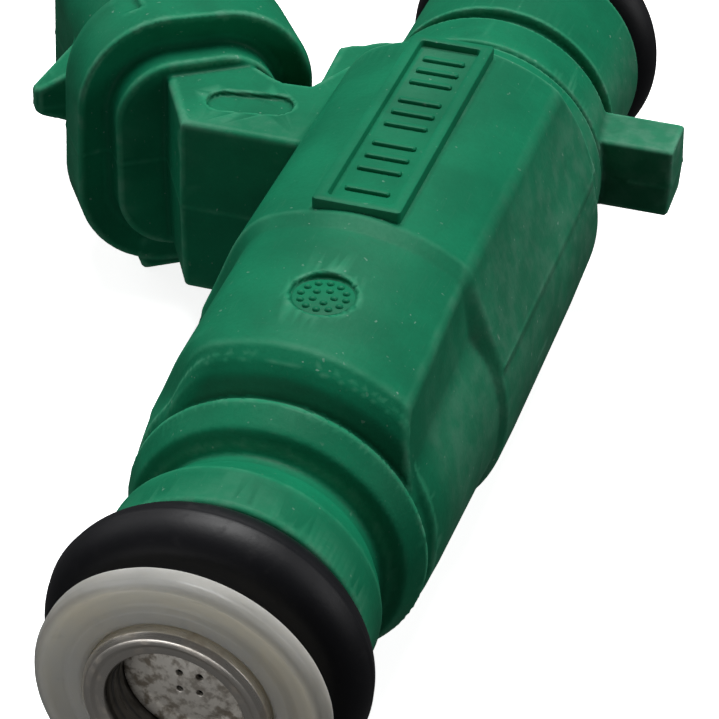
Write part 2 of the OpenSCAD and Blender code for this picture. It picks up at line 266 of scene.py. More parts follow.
def milky_nylon(name, tint):
    """Milky nylon with a warm cast in patches, a little grime and turning marks."""
    paint = Paint(name, {
        "Subsurface Weight": 1.0, "Subsurface Radius": (1.0, 0.95, 0.85), "Subsurface Scale": 0.0035,
        "Specular IOR Level": 0.45})
    tint = tuple(tint)
    cloud = paint.noise(0.22, 3.0)
    warm_tint = (tint[0] * 1.03, tint[1] * 0.99, tint[2] * 0.92)
    warm = paint.blend(paint.fade(cloud, 0.3, 0.7), shade(tint, 0.96), warm_tint)
    grime = paint.fade(paint.noise(1.3, 4.0), 0.6, 0.75) * 0.22
    # painted shade darkens the outer rim
    rim = paint.fade(paint.distance_from_axis(), 0.0059, 0.0063) * 0.75
    grimy = paint.blend(grime, warm, shade(tint, 0.55))
    paint.feed("Base Color", paint.blend(rim, grimy, shade(tint, 0.4)))
    rings = paint.node("ShaderNodeTexNoise", {"noise_dimensions": "1D"}, {
        "W": paint.distance_from_axis() * 6000, "Scale": 1.0, "Detail": 2.0})
    paint.feed("Roughness", 0.34 + cloud * 0.16)
    paint.bump(rings * 0.5 + paint.noise(2.5, 3.0) * 0.6, 0.012)
    return paint.material


def seal_rubber(name, tint):
    """Black rubber with an oily sheen, dust and faint moulding marks."""
    paint = Paint(name, {"Specular IOR Level": 0.3})
    dust = paint.fade(paint.noise(1.6, 5.0), 0.52, 0.8)
    paint.feed("Base Color", paint.blend(dust * 0.1, tuple(tint), (0.03, 0.028, 0.028)))
    paint.feed("Roughness", 0.40 + paint.noise(0.5, 3.0) * 0.16 + dust * 0.15)
    paint.bump(paint.noise(6.0, 3.0) * 0.4 + paint.noise(0.6, 2.0), 0.012)
    return paint.material


def turned_metal(name, tint, roughness, stain=0.25, rings_per_mm=9.0, shaded_bore_mm=None):
    """Metal turned about the axis: fine rings, uneven polish, brown stains and, where given, painted shade in the bore.
    """
    paint = Paint(name, {"Metallic": 1.0})
    tint = tuple(tint)
    along = paint.distance_from_axis() + paint.axis("Y")
    rings = paint.node("ShaderNodeTexNoise", {"noise_dimensions": "1D"}, {
        "W": along * (rings_per_mm / MM), "Scale": 1.0, "Detail": 3.0})
    spots = paint.fade(paint.noise(1.1, 5.0), 0.5, 0.72)
    tone = paint.blend(rings * 0.5, shade(tint, 1.1), shade(tint, 0.75))
    tone = paint.blend(spots * stain, tone, (tint[0] * 0.5, tint[1] * 0.42, tint[2] * 0.33))
    if shaded_bore_mm:
        inside, outside = (shaded_bore_mm - 0.03) * MM, (shaded_bore_mm + 0.06) * MM
        # painted shade: the bore is darkened to near black
        bore = 1 - paint.fade(paint.distance_from_axis(), inside, outside)
        tone = paint.blend(bore * 0.8, tone, (0.02, 0.022, 0.028))
    paint.feed("Base Color", tone)
    paint.feed("Roughness", roughness + rings * 0.1 + spots * stain * 0.5)
    paint.bump(rings, 0.006)
    return paint.material


def spray_steel(name, tint):
    """Dull steel of the spray disc, stained by heat and fuel around its holes."""
    paint = Paint(name, {"Metallic": 0.4})
    tint = tuple(tint)
    deposit = paint.fade(paint.noise(1.8, 5.0), 0.42, 0.62)
    near = 1 - paint.fade(paint.distance_from_axis(), 0.0006, 0.0024)
    tone = paint.blend(deposit, shade(tint, 1.15), (0.28, 0.24, 0.19))
    paint.feed("Base Color", paint.blend(near * 0.25, tone, (0.75, 0.73, 0.69)))
    paint.feed("Roughness", 0.42 + deposit * 0.3)
    paint.bump(paint.noise(3.0, 4.0), 0.02)
    return paint.material


def moulded_plastic(name, tint, roughness):
    """Plain moulded plastic with flow marks and a fine grain."""
    paint = Paint(name, {"Specular IOR Level": 0.4})
    flow = paint.noise(1.0, 3.0, paint.stretched(1, 0.35, 1))
    paint.feed("Base Color", paint.blend(paint.fade(flow, 0.3, 0.7), shade(tint, 0.85), shade(tint, 1.15)))
    paint.feed("Roughness", roughness + flow * 0.15)
    paint.bump(paint.noise(4.0, 2.0), 0.008)
    return paint.material


def wound_wire(name, tint, wire_mm=0.16):
    """Enamelled wire wound in neat turns about the axis."""
    paint = Paint(name, {"Metallic": 0.9, "Coat Weight": 0.4})
    turns = paint.node("ShaderNodeTexWave", {"bands_direction": "Y"}, {
        "Vector": paint.place, "Scale": 1 / (wire_mm * MM) / math.pi / 2, "Distortion": 0.4, "Detail": 2.0}, "Fac")
    paint.feed("Base Color", paint.blend(turns, shade(tint, 0.45), shade(tint, 1.1)))
    paint.feed("Roughness", 0.3 + turns * 0.1)
    paint.bump(turns, 0.05)
    return paint.material


def woven_gauze(name, tint, pitch_mm=0.12):
    """Fine woven filter cloth."""
    paint = Paint(name, {"Specular IOR Level": 0.3})
    threads = [
        paint.node("ShaderNodeTexWave", {"bands_direction": direction}, {
            "Vector": paint.place, "Scale": 1 / (pitch_mm * MM) / math.pi / 2}, "Fac")
        for direction in ("Y", "DIAGONAL")]
    weave = threads[0] * threads[1]
    paint.feed("Base Color", paint.blend(weave, shade(tint, 0.35), tint))
    paint.feed("Roughness", 0.5 + weave * 0.2)
    paint.bump(weave, 0.04)
    return paint.material


def contact_metal(name, tint):
    """Tinned contact strip, drawn along its length and dulled by handling."""
    paint = Paint(name, {"Metallic": 1.0})
    tint = tuple(tint)
    drawn = paint.noise(1.0, 3.0, paint.stretched(12, 1.5, 12))
    smear = paint.fade(paint.noise(0.8, 4.0), 0.45, 0.7)
    paint.feed("Base Color", paint.blend(smear * 0.5, shade(tint, 1.05), shade(tint, 0.6)))
    paint.feed("Roughness", 0.22 + drawn * 0.15 + smear * 0.15)
    paint.bump(drawn, 0.006)
    return paint.material


def studio_floor(name):
    """Matt white paper with a very faint mottle."""
    paint = Paint(name, {"Specular IOR Level": 0.1, "Emission Color": (1, 1, 1, 1), "Emission Strength": 0.86})
    mottle = paint.noise(0.02, 3.0)
    paint.feed("Base Color", paint.blend(mottle, (0.90, 0.90, 0.90), (0.93, 0.93, 0.93)))
    paint.feed("Roughness", 0.85 + mottle * 0.1)
    return paint.material


# ---------------------------------------------------------------- mesh helpers

def add_piece(name, mesh, material, replaces=()):
    """Puts a finished mesh in the scene, on the injector's body."""
    piece = bpy.data.objects.new(name, mesh)
    bpy.context.scene.collection.objects.link(piece)
    mesh.materials.append(material)
    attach(piece, BODY)
    if replaces:
        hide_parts(*replaces)
    return piece


def mesh_from(name, points, faces):
    """Mesh from points in millimetres."""
    mesh = bpy.data.meshes.new(name)
    mesh.from_pydata((np.asarray(points, float) * MM).tolist(), [], [list(map(int, f)) for f in faces])
    mesh.update()
    return mesh


def face_outwards(mesh):
    """Turns each island's faces outwards and joins points that coincide."""
    bm = bmesh.new()
    bm.from_mesh(mesh)
    bmesh.ops.remove_doubles(bm, verts=bm.verts, dist=1e-7)
    bmesh.ops.recalc_face_normals(bm, faces=bm.faces)
    bm.to_mesh(mesh)
    bm.free()
    mesh.shade_smooth()
    return mesh


NEARLY_STRAIGHT = math.radians(172)     # corners flatter than this stay as they are
LONGEST_CUT = 0.45                      # share of a side that one rounded corner may take


def rounded_profile(corners, radius, steps=4):
    """Closed [radius, y] outline with each corner rounded, as far as its sides allow.

    A corner is (radius, y) or (radius, y, its own rounding).
    """
    out = []
    count = len(corners)
    for i, corner in enumerate(corners):
        here = Vector(corner[:2])
        before, after = Vector(corners[i - 1][:2]) - here, Vector(corners[(i + 1) % count][:2]) - here
        angle = before.angle(after)
        if angle > NEARLY_STRAIGHT:
            out.append(tuple(here))
            continue
        size = corner[2] if len(corner) > 2 else radius
        cut = min(size / max(math.tan(angle / 2), 1e-3), LONGEST_CUT * before.length, LONGEST_CUT * after.length)
        start, end = here + before.normalized() * cut, here + after.normalized() * cut
        for k in range(steps + 1):
            t = k / steps
            out.append(tuple(start.lerp(here, t).lerp(here.lerp(end, t), t)))
    return out


def turned_mesh(name, profile, segments=192):
    """Closed ring made by turning a closed [radius, y] outline about the Y axis."""
    count = len(profile)
    points, faces = [], []
    for i in range(segments):
        turn = math.tau * i / segments
        points += [(r * math.cos(turn), y, r * math.sin(turn)) for r, y in profile]
        following = (i + 1) % segments
        for j in range(count):
            k = (j + 1) % count
            faces.append((i * count + j, i * count + k, following * count + k, following * count + j))
    return face_outwards(mesh_from(name, points, faces))


def rounded_loop(half_x, half_y, radius, steps=5):
    """Points of a rounded rectangle about the origin."""
    radius = min(radius, half_x * 0.999, half_y * 0.999)
    loop = []
    for corner, (sx, sy) in enumerate(((1, 1), (-1, 1), (-1, -1), (1, -1))):
        for k in range(steps + 1):
            turn = math.radians(90 * corner + 90 * k / steps)
            loop.append((sx * (half_x - radius) + radius * math.cos(turn),
                         sy * (half_y - radius) + radius * math.sin(turn)))
    return loop


def stacked(levels, make_loop):
    """Points and faces of a solid that joins loops at rising levels: each level is (inset, z)."""
    points, faces = [], []
    for inset, z in levels:
        points += [(x, y, z) for x, y in make_loop(inset)]
    count = len(points) // len(levels)
    for level in range(len(levels) - 1):
        for i in range(count):
            k = (i + 1) % count
            a, b = level * count, (level + 1) * count
            faces.append((a + i, a + k, b + k, b + i))
    faces.append(tuple(range(count - 1, -1, -1)))
    faces.append(tuple(range(len(points) - count, len(points))))
    return points, faces


class Pile:
    """Collects several closed islands into one mesh."""

    def __init__(self):
        self.points = []
        self.faces = []

    def add(self, part, move=(0, 0, 0)):
        points, faces = part
        start = len(self.points)
        self.points += [(x + move[0], y + move[1], z + move[2]) for x, y, z in points]
        self.faces += [tuple(start + i for i in f) for f in faces]

    def mesh(self, name, sharp_angle=math.radians(35)):
        mesh = face_outwards(mesh_from(name, self.points, self.faces))
        mesh.set_sharp_from_angle(angle=sharp_angle)
        return mesh


# ---------------------------------------------------------------- surfaces from distance fields

def rounded_max(*parts, k):
    """The space common to all parts, with their meeting edges rounded."""
    out = parts[0]
    for part in parts[1:]:
        near = np.maximum(k - np.abs(out - part), 0) / k
        out = np.maximum(out, part) + near * near * k / 4
    return out


def rounded_min(*parts, k):
    """All parts together, with a fillet where they meet."""
    return -rounded_max(*(-p for p in parts), k=k)


class Curve:
    """A size that changes along the axis: straight runs between points, with softened corners."""
    spacing = 0.02
    spread = 60                         # grid points to each side that soften a corner
    grid = np.arange(-10, 70, spacing)

    def __init__(self, points, soften):
        places, sizes = zip(*points)
        raw = np.interp(self.grid, places, sizes)
        reach = np.arange(-self.spread, self.spread + 1)
        weight = np.exp(-0.5 * (reach * self.spacing / soften) ** 2)
        self.sizes = np.convolve(np.pad(raw, self.spread, mode="edge"), weight / weight.sum(), mode="valid")
        self.slopes = np.gradient(self.sizes, self.spacing)

    def at(self, y):
        return np.interp(y, self.grid, self.sizes)

    def outside(self, r, y):
        """Distance of a point at radius r beyond the surface."""
        return (r - self.at(y)) / np.sqrt(1 + np.interp(y, self.grid, self.slopes) ** 2)


def inset_outline(corners, inset):
    """A closed outline moved inwards; its corners run anticlockwise."""
    moved = []
    count = len(corners)
    for i in range(count):
        p, q, s = (np.array(corners[(i + d) % count], float) for d in (-1, 0, 1))
        first, second = (q - p) / np.linalg.norm(q - p), (s - q) / np.linalg.norm(s - q)
        normals = [np.array((-d[1], d[0])) for d in (first, second)]
        moved.append(q + (normals[0] + normals[1]) * inset / (1 + normals[0] @ normals[1]))
    return moved


def outline_distance(x, y, corners, radius):
    """Signed distance to a closed outline whose corners are rounded."""
    inner = inset_outline(corners, radius)
    nearest = np.full(x.shape, 1e9)
    sign = np.ones(x.shape)
    for i, q in enumerate(inner):
        p = inner[i - 1]
        edge = q - p
        wx, wy = x - p[0], y - p[1]
        t = np.clip((wx * edge[0] + wy * edge[1]) / (edge @ edge), 0, 1)
        nearest = np.minimum(nearest, (wx - t * edge[0]) ** 2 + (wy - t * edge[1]) ** 2)
        crosses = (p[1] > y) != (q[1] > y)
        if p[1] != q[1]:
            sign = np.where(crosses & (x < edge[0] * (y - p[1]) / edge[1] + p[0]), -sign, sign)
    return sign * np.sqrt(nearest) - radius


def box_distance(x, y, half_x, half_y, radius):
    """Signed distance to a rectangle about the origin with rounded corners."""
    qx, qy = np.abs(x) - half_x + radius, np.abs(y) - half_y + radius
    return np.hypot(np.maximum(qx, 0), np.maximum(qy, 0)) + np.minimum(np.maximum(qx, qy), 0) - radius


def gradient(field, points, h=0.004):
    """Slope of the field at each point, from values h to each side of it."""
    columns = []
    for axis in range(3):
        shift = np.zeros(3)
        shift[axis] = h
        columns.append((field(*(points + shift).T) - field(*(points - shift).T)) / (2 * h))
    return np.stack(columns, 1)


BLOCK = 4                               # grid steps along one side of a coarse block
BLOCK_REACH = 1.9                       # blocks this near the surface, in their own sides, are filled in
BATCH = 6000                            # blocks filled in at one time


def net_surface(field, low, high, step):
    """Points and four-sided faces of the field's zero surface, one point for each grid cell it crosses.

    The field is read on coarse blocks first, and on the fine grid only in the blocks near the surface.
    """
    block = BLOCK
    blocks = np.ceil((np.array(high) - low) / (step * block)).astype(int)
    size = blocks * block
    low = np.array(low, float)
    centres = [low[d] + (np.arange(blocks[d]) + 0.5) * step * block for d in range(3)]
    coarse = field(*(g.ravel() for g in np.meshgrid(*centres, indexing="ij"))).reshape(blocks)
    near = np.abs(coarse) < step * block * BLOCK_REACH
    values = np.repeat(np.repeat(np.repeat(coarse, block, 0), block, 1), block, 2).astype(np.float32)
    local = np.stack(np.meshgrid(*(np.arange(block),) * 3, indexing="ij"), -1).reshape(-1, 3)
    for part in np.array_split(np.argwhere(near), max(1, int(near.sum()) // BATCH)):
        index = (part[:, None, :] * block + local[None]).reshape(-1, 3)
        values[tuple(index.T)] = field(*(low + index * step).T)
    inside = values < 0
    corners = np.array([(i, j, k) for i in (0, 1) for j in (0, 1) for k in (0, 1)])
    count = sum(inside[i:size[0] - 1 + i, j:size[1] - 1 + j, k:size[2] - 1 + k].astype(np.int8)
                for i, j, k in corners)
    cells = np.argwhere((count > 0) & (count < 8))
    number = np.full(size, -1, np.int64)
    number[tuple(cells.T)] = np.arange(len(cells))
    total, hits = np.zeros((len(cells), 3)), np.zeros(len(cells))
    for a in range(8):
        for axis in range(3):
            if corners[a][axis]:
                continue
            first, second = corners[a], corners[a] + np.eye(3, dtype=int)[axis]
            va, vb = values[tuple((cells + first).T)], values[tuple((cells + second).T)]
            cross = (va < 0) != (vb < 0)
            t = np.where(cross, va / np.where(cross, va - vb, 1), 0)
            total += np.where(cross[:, None], first + t[:, None] * (second - first), 0)
            hits += cross
    points = low + (cells + total / hits[:, None]) * step
    faces = []
    for axis in range(3):
        u, v = (axis + 1) % 3, (axis + 2) % 3
        unit = np.eye(3, dtype=int)
        here = inside[tuple(slice(0, -1) if d == axis else slice(None) for d in range(3))]
        there = inside[tuple(slice(1, None) if d == axis else slice(None) for d in range(3))]
        at = np.argwhere(here != there)
        at = at[(at[:, u] > 0) & (at[:, v] > 0) & (at < size - 1).all(1)]
        ring = [number[tuple((at - offset).T)] for offset in (0 * unit[0], unit[u], unit[u] + unit[v], unit[v])]
        quads = np.stack(ring, 1)
        flip = ~here[tuple(at.T)]
        quads[flip] = quads[flip][:, ::-1]
        faces.append(quads)
    return points, np.concatenate(faces)


def settle(field, points, rounds=4, longest_move=0.15, least_slope=0.05):
    """Moves points onto the field's zero surface, a short way in each round."""
    for _ in range(rounds):
        slope = gradient(field, points)
        reach = field(*points.T) / np.maximum((slope ** 2).sum(1), least_slope)
        points = points - np.clip(reach, -longest_move, longest_move)[:, None] * slope
    return points


NORMAL_REACH = 0.03                     # distance that a normal is averaged over
BEND_REACH = 0.22                       # distance that the surface's bend is read over
LEAST_BEND = 0.5                        # surface that bends less than this counts as plain
EDGE_BEND, CREASE_BEND = 2.2, 2.5       # further bend at which an edge or crease counts in full


def mesh_of_field(name, field, low, high, step, faces=None):
    """Smooth closed mesh of a distance field, with its own normals and attributes that mark edges for wear and a
    painted highlight, and creases for painted shade.
    """
    points, quads = net_surface(field, low, high, step)
    points = settle(field, points)
    mesh = bpy.data.meshes.new(name)
    mesh.vertices.add(len(points))
    mesh.vertices.foreach_set("co", (points * MM).astype(np.float32).ravel())
    mesh.loops.add(quads.size)
    mesh.loops.foreach_set("vertex_index", quads.ravel().astype(np.int32))
    mesh.polygons.add(len(quads))
    mesh.polygons.foreach_set("loop_start", np.arange(0, quads.size, 4, dtype=np.int32))
    mesh.update(calc_edges=True)
    mesh.validate()
    if faces and faces < 2 * len(quads):
        holder = bpy.data.objects.new(name, mesh)
        bpy.context.scene.collection.objects.link(holder)
        thin = holder.modifiers.new("thin", "DECIMATE")
        thin.ratio = faces / (2 * len(quads))
        graph = bpy.context.evaluated_depsgraph_get()
        thinned = bpy.data.meshes.new_from_object(holder.evaluated_get(graph))
        bpy.data.objects.remove(holder)
        mesh = thinned
        mesh.name = name
    count = len(mesh.vertices)
    flat = np.empty(count * 3, np.float32)
    mesh.vertices.foreach_get("co", flat)
    points = flat.reshape(-1, 3).astype(float) / MM
    normals = gradient(field, points, NORMAL_REACH)
    normals /= np.maximum(np.linalg.norm(normals, axis=1), 1e-9)[:, None]
    # the bend is the field's Laplacian, from the six points round each point
    bend = -6 * field(*points.T)
    for axis in range(3):
        for sign in (-1, 1):
            shift = np.zeros(3)
            shift[axis] = sign * BEND_REACH
            bend = bend + field(*(points + shift).T)
    bend /= BEND_REACH * BEND_REACH
    # edges feed wear and a painted highlight, concave creases feed painted shade
    for attribute, value in (("edge", (bend - LEAST_BEND) / EDGE_BEND),
                             ("crease_shade", (-bend - LEAST_BEND) / CREASE_BEND)):
        layer = mesh.attributes.new(attribute, "FLOAT", "POINT")
        layer.data.foreach_set("value", np.clip(value, 0, 1).astype(np.float32))
    mesh.shade_smooth()
    mesh.normals_split_custom_set_from_vertices(normals.tolist())
    return mesh


# ---------------------------------------------------------------- the housing's shape

# In millimetres. "Across" and "along" are measured square to the plug's direction and along it,
# from the origin. Outlines run anticlockwise.
HEAD_Y = 53.58          # end face below the upper seal ring
FOOT_Y = 1.9            # end face behind the lower seal ring
PLUG_ACROSS = 9.93      # middle of the connector
FLANGE_BACK = 40.35     # back face of the connector's flange, along
CAVITY_FLOOR = 43.4     # floor of the connector's cavity, along
MOUTH = 54.85           # end face of the connector, along
PLUG_TWIST = 0.04       # slight turn of the connector about its own direction
ARM_HALF, ARM_LEVEL, WEB_HALF = 5.17, -0.12, 4.4
MARK_RADIUS, MARK_FLOOR = 1.5, 8.88
STADIUM_X, STADIUM_Y, STADIUM_FLOOR = -10.6, 35.4, 4.78
STADIUM_COS, STADIUM_SIN = 0.985, 0.174     # the mark on the arm leans by 10 degrees
SEAT_MIDDLE, SEAT_HALF_X, SEAT_HALF_Y, SEAT_FLOOR = 28.25, 1.9, 8.1, 9.35
TAB_X, TAB_Y, TAB_HALF_X, TAB_HALF_Y, TAB_LOW, TAB_TOP = 7.25, 44.1, 3.66, 1.7, -1.9, 2.15
DRAFT, TAB_DRAFT = 0.03, 0.05           # side walls lean by this much for each millimetre of height
FLASH, FLASH_WIDTH = 0.035, 0.12        # height and half width of a flash line
ARM_OUTLINE = [
    (-5, 32.15), (-5, 41.6), (-6.6, 41.6), (-7.15, 41.0), (-8.3, 38.4), (-9.6, 38.3), (-10.3, 38.6), (-11.4, 39.3),
    (-14.5, 40.3), (-16.3, 37.3), (-15.65, 36.16), (-13.4, 32.15)]
WEB_OUTLINE = [
    (-4, 38.8), (-4, 45.65), (-5, 45.65), (-6.2, 45.6), (-6.9, 45.2), (-7.3, 44.8), (-7.9, 44.6), (-8.6, 44.0),
    (-8.4, 40.5), (-8.4, 38.8)]
EAR_OUTLINE = [(5.6, 46.0), (5.6, 49.4), (2.2, 46.85), (2.2, 46.3), (2.5, 46.0)]


def core_points(sizes):
    """Radius of the round parts of the housing along the axis, as (y, radius), from the seal to the inlet."""
    body, lower, collar, neck = (v / MM for v in (
        sizes.body_radius, sizes.lower_radius, sizes.collar_radius, sizes.neck_radius))
    return [
        # sleeve, waist, cone and the groove behind it
        (-2, 6.33), (4.3, 6.32), (5.2, 5.9), (6.0, 5.4), (6.5, 5.4), (6.6, 5.5), (7.05, 6.42), (7.2, 6.52),
        (8.36, 7.08), (8.5, 6.9), (8.75, 6.74), (9.1, 6.82), (9.5, 7.15),
        # lower body, body, the groove below the neck's band, and the neck with the clip groove
        (11.2, collar), (14, lower), (18.95, lower + 0.16), (19.45, body - 0.12), (22, body - 0.05),
        (33, body + 0.04), (37.5, body), (37.65, body - 0.26), (39.3, body - 0.55), (41.6, body - 0.8),
        (41.75, body - 1.14), (42.0, body - 1.14), (42.15, body - 0.9),
        (45.45, neck + 0.16), (45.55, neck - 0.6), (46.75, neck - 0.6), (46.85, neck), (60, neck)]


def housing_field(sizes):
    """Distance field of the whole moulded housing, in millimetres."""
    core = Curve(core_points(sizes), 0.06)
    top, low_top = sizes.saddle_radius / MM, sizes.lower_saddle_radius / MM
    half = sizes.saddle_half / MM
    saddle = Curve([(8.5, 6.5), (8.75, 7.3), (9.0, 7.9), (9.4, 8.4), (10.0, low_top - 0.58), (10.2, low_top - 0.53),
                    (18.75, low_top), (19.65, top), (36.9, top - 0.02), (38.4, top - 1.5)], 0.07)
    lean_x = Curve([(4.3, 0), (6, 0.14), (8.6, 0.14), (11, 0)], 0.3)
    # each side of the saddle is a slanted wall that meets the round body at a tangent
    saddle_left = Curve([(8.6, 6.55), (9.8, 6.7), (11.2, 7.38), (18.7, 7.4), (19.6, 8.0)], 0.1)
    saddle_right = Curve([(18.7, half + 0.08), (19.6, half + 0.22)], 0.15)
    wall_tilt = Curve([(18.7, 0.16), (19.6, 0.36)], 0.15)
    moulded_round = Curve([(6, 3.79), (6.02, 4.3), (9.6, 4.3), (9.62, 6.6), (25.6, 6.6), (25.62, 4.3), (52.1, 4.3),
                           (52.12, 3.79)], 0.02)
    cosine, sine = math.cos(sizes.plug_angle), math.sin(sizes.plug_angle)
    half_w, half_h = sizes.flange_width / MM / 2, sizes.flange_height / MM / 2
    wall = sizes.shroud_wall / MM

    def field(x, y, z):
        r = np.hypot(x - lean_x.at(y), z)
        across, along = x * cosine + y * sine, y * cosine - x * sine
        l, deep = across - PLUG_ACROSS, along - FLANGE_BACK
        parting = DRAFT * np.abs(z)
        shape = rounded_max(core.outside(r, y), FOOT_Y - y, y - HEAD_Y, k=0.35)
        raised = rounded_max(saddle.outside(r, y), 0.37 * z - 0.93 * x - saddle_left.at(y), k=1.0)
        tilt = wall_tilt.at(y)
        wall_side = (x - saddle_right.at(y)) * np.cos(tilt) + (z - top + 1.8) * np.sin(tilt)
        raised = rounded_max(raised, wall_side, k=0.25)
        raised = rounded_max(raised, 8.5 - y, y - 38.3, 2.7 - z, k=0.25)
        shape = rounded_min(shape, raised, k=0.22)
        arm = rounded_max(outline_distance(x, y, ARM_OUTLINE, 0.3) + parting, np.abs(z - ARM_LEVEL) - ARM_HALF, k=0.42)
        web = rounded_max(outline_distance(x, y, WEB_OUTLINE, 0.3) + parting, np.abs(z) - WEB_HALF, k=0.5)
        shape = rounded_min(shape, arm, web, k=0.35)
        turned_l, turned_z = l - PLUG_TWIST * z, z + PLUG_TWIST * l
        rim = box_distance(turned_l, turned_z, half_w, half_h, 5.2)
        # the flange's back is hollowed inside its rim, and its front slopes down to the shroud
        hollow = 0.55 * np.clip(-rim / 1.25 - 0.1, 0, 1)
        flange = rounded_max(rim, hollow - deep, k=0.3)
        flange = rounded_max(flange, deep - 5.15 - 0.11 * l, k=1.3)
        block = rounded_max(box_distance(l + 0.05, z, half_w - 1.9, half_h - 1.95, 3.4),
                            -1.4 - deep, deep - 1, k=0.3)
        shroud = rounded_max(box_distance(turned_l - 0.8, turned_z, half_w - 0.9, half_h - 1.2, 4.2),
                             1 - deep, along - MOUTH, k=0.4)
        ear = rounded_max(outline_distance(across, along, EAR_OUTLINE, 0.15),
                          np.abs(z - 0.35) - 0.75 - 0.42 * np.maximum(across - 2.2, 0), k=0.3)
        rib = rounded_max(box_distance(l + 1.5, z + half_h - 0.55, 1.7, 1.05, 0.3), 0.2 - deep, deep - 4.8, k=0.3)
        plug = rounded_min(rounded_min(flange, shroud, k=1.5), block, ear, rib, k=0.3)
        notch = rounded_max(box_distance(l + 3.0, z - half_h - 1, 0.65, 1.35, 0.2), 2.05 - deep, k=0.25)
        cavity = rounded_max(box_distance(l, z, half_w - 1.5 - wall, half_h - 1.5 - wall, 2.7),
                             CAVITY_FLOOR - along, k=0.5)
        plug = rounded_max(plug, -notch, -cavity, k=0.25)
        shape = rounded_min(shape, plug, k=0.3)
        tab = rounded_max(box_distance(x - TAB_X, y - TAB_Y, TAB_HALF_X, TAB_HALF_Y, 0.25) + TAB_DRAFT * np.abs(z),
                          z - TAB_TOP, TAB_LOW - z, k=0.22)
        shape = rounded_min(shape, tab, k=0.22)
        # flash line where the two halves of the mould met, on the plug side and the tab
        flash = FLASH * np.exp(-(z / FLASH_WIDTH) ** 2) * ((x < -7.9) | (x > 8.4))
        shape = shape - flash
        # recesses: the round mark, the ejector mark on the arm and the seat of the marking plate
        pit = rounded_max(np.hypot(x - MARK_X, y - MARK_Y) - MARK_RADIUS, MARK_FLOOR - z, k=0.12)
        mark_x, mark_y = x - STADIUM_X, y - STADIUM_Y
        stadium = box_distance(mark_x * STADIUM_COS + mark_y * STADIUM_SIN, mark_y * STADIUM_COS - mark_x * STADIUM_SIN,
                               2.3, 1.0, 0.99)
        stadium = rounded_max(stadium, STADIUM_FLOOR - z, k=0.12)
        seat = np.maximum(np.maximum(np.abs(x) - SEAT_HALF_X, np.abs(y - SEAT_MIDDLE) - SEAT_HALF_Y), SEAT_FLOOR - z)
        shape = rounded_max(shape, -pit, -stadium, -seat, k=0.12)
        # the hollow for the steel works, open at both ends
        inner = np.maximum(np.maximum(moulded_round.outside(r, y), 0.9 - y), y - 54.6)
        return np.maximum(shape, -inner)

    return field


# ---------------------------------------------------------------- operators

class BuildStep(bpy.types.Operator):
    """One step of the build."""
    bl_options = {"REGISTER", "UNDO"}

    def execute(self, context):
        self.build(context.scene)
        return {"FINISHED"}


class INJECTOR_OT_stage(BuildStep):
    """Adds the floor, the soft lights and the camera"""
    bl_idname = "injector.stage"
    bl_label = "Stage"

    def light(self, scene, name, place, target, size, power):
        data = bpy.data.lights.new(name, "AREA")
        data.shape, data.size, data.size_y, data.energy = "RECTANGLE", size[0], size[1], power
        lamp = bpy.data.objects.new(name, data)
        lamp.matrix_world = (Matrix.Translation(place) @
                             (Vector(target) - Vector(place)).to_track_quat("-Z", "Y").to_matrix().to_4x4())
        lamp.visible_camera = False
        scene.collection.objects.link(lamp)

    def build(self, scene):
        reach, height, clearance = 3.0, CAD_BOX[0].z, 0.00002
        mesh = bpy.data.meshes.new("floor")
        bm = bmesh.new()
        bmesh.ops.create_grid(bm, x_segments=24, y_segments=24, size=reach)
        bmesh.ops.translate(bm, verts=bm.verts, vec=(0, 0, height - clearance))
        bm.to_mesh(mesh)
        bm.free()
        mesh.materials.append(studio_floor("floor_paper"))
        floor = bpy.data.objects.new("floor", mesh)
        scene.collection.objects.link(floor)
        # the paper shows white, and doesn't fill the shaded sides of the object
        floor.visible_diffuse = floor.visible_glossy = False
        world = bpy.data.worlds.new("studio")
        scene.world = world
        world.use_nodes = True
        sky = world.node_tree.nodes["Background"]
        sky.inputs["Color"].default_value = (1.0, 1.0, 1.0, 1.0)
        sky.inputs["Strength"].default_value = 0.075
        self.light(scene, "overhead", (-0.03, 0.19, 0.44), (0, 0.02, 0), (0.3, 0.24), 2.8)
        self.light(scene, "left_window", (-0.34, 0.1, 0.2), (0, 0.02, 0), (0.3, 0.2), 0.25)
        self.light(scene, "right_window", (0.34, 0.14, 0.16), (0, 0.03, 0), (0.3, 0.2), 0.4)
        self.light(scene, "nose_card", (-0.02, -0.07, 0.0), (0, 0.0, 0), (0.05, 0.04), 0.015)
        scene.view_settings.view_transform = "Standard"
        camera = bpy.data.cameras.new("camera")
        camera.lens, camera.sensor_width = 128.7, 36.0
        camera.clip_start = 0.001
        azimuth, elevation, roll = (math.radians(angle) for angle in (16.7, 35.69, 1.318))
        distance, aim = 0.12506, Vector((-0.00023, 0.02191, 0))
        back = Vector((math.sin(azimuth) * math.cos(elevation), -math.cos(azimuth) * math.cos(elevation),
                       math.sin(elevation)))
        eye = bpy.data.objects.new("camera", camera)
        eye.matrix_world = (Matrix.Translation(aim + back * distance) @
                            (-back).to_track_quat("-Z", "Y").to_matrix().to_4x4() @ Matrix.Rotation(roll, 4, "Z"))
        scene.collection.objects.link(eye)
        scene.camera = eye


class INJECTOR_OT_housing(BuildStep):
    """Builds the moulded housing with its arm, connector and key tab"""
    bl_idname = "injector.housing"
    bl_label = "Housing"

    def build(self, scene):
        sizes = scene.injector_housing
        low, high = node_box("housing")
        step = sizes.mesh_step / MM * 1
        margin = Vector((1, 1, 1))
        mesh = mesh_of_field("housing_shell", housing_field(sizes), low - margin, high + margin, step, sizes.faces)
        finish = green_plastic("housing_green", scene.injector_colours, marks=True)
        add_piece("housing_shell", mesh, finish, ["housing"])


